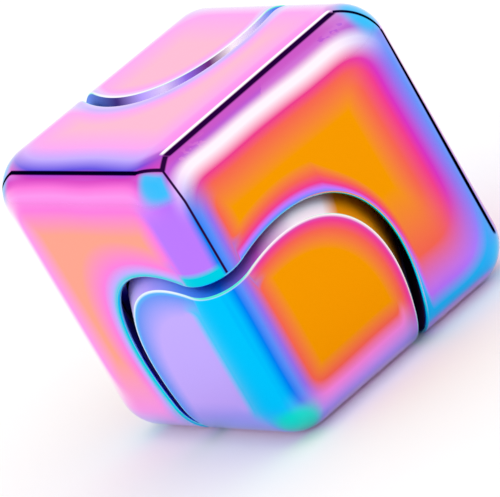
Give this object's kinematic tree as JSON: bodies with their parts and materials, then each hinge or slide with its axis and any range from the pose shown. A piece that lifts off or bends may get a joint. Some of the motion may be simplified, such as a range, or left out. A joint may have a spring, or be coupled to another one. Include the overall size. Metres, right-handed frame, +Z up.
{
  "type": "fidget cube",
  "caption": "Rounded metal cube split round a body diagonal into a main body and opposite corner caps on a bearing, held by the corners and spun",
  "frame": {"origin": "centre of the cube's footprint, on the surface that it stands on", "axes": "+Z up; faces square to X, Y and Z; the spin axis is the body diagonal (1, 1, 1) through the cube's centre"},
  "size_m": [0.03, 0.03, 0.03],
  "materials": {
    "rainbow_body": "polished, with a rainbow interference coating",
    "rainbow_cap": "polished, with a rainbow interference coating",
    "ground_steel": "ground",
    "ball_steel": "polished",
    "shield_steel": "pressed sheet",
    "spring_steel": "phosphated spring steel",
    "sleeve_brass": "turned",
    "cage_brass": "machined"
  },
  "bodies": {
    "main_body": {"cube_body": "rainbow_body", "bearing_outer_ring": "ground_steel", "upper_shield": "shield_steel", "lower_shield": "shield_steel", "bearing_snap_ring": "spring_steel"},
    "corner_caps": {"upper_cap": "rainbow_cap", "lower_cap": "rainbow_cap", "spindle_pin": "ground_steel", "upper_sleeve": "sleeve_brass", "lower_sleeve": "sleeve_brass", "bearing_inner_ring": "ground_steel"},
    "ball_set": {"bearing_cage": "cage_brass", "bearing_ball_1": "ball_steel", "bearing_ball_2": "ball_steel", "bearing_ball_3": "ball_steel", "bearing_ball_4": "ball_steel", "bearing_ball_5": "ball_steel", "bearing_ball_6": "ball_steel", "bearing_ball_7": "ball_steel", "bearing_ball_8": "ball_steel", "bearing_ball_9": "ball_steel", "bearing_ball_10": "ball_steel"}
  },
  "joints": [
    {"name": "cap_spin", "type": "hinge", "parent": "main_body", "child": "corner_caps", "pos_m": [0, 0, 0.015], "axis": [0.5774, 0.5774, 0.5774], "continuous": true},
    {"name": "ball_orbit", "type": "hinge", "parent": "main_body", "child": "ball_set", "pos_m": [0, 0, 0.015], "axis": [0.5774, 0.5774, 0.5774], "continuous": true}
  ],
  "couplings": [
    {"joint": "ball_orbit", "follows": "cap_spin", "ratio": 0.4166}
  ]
}
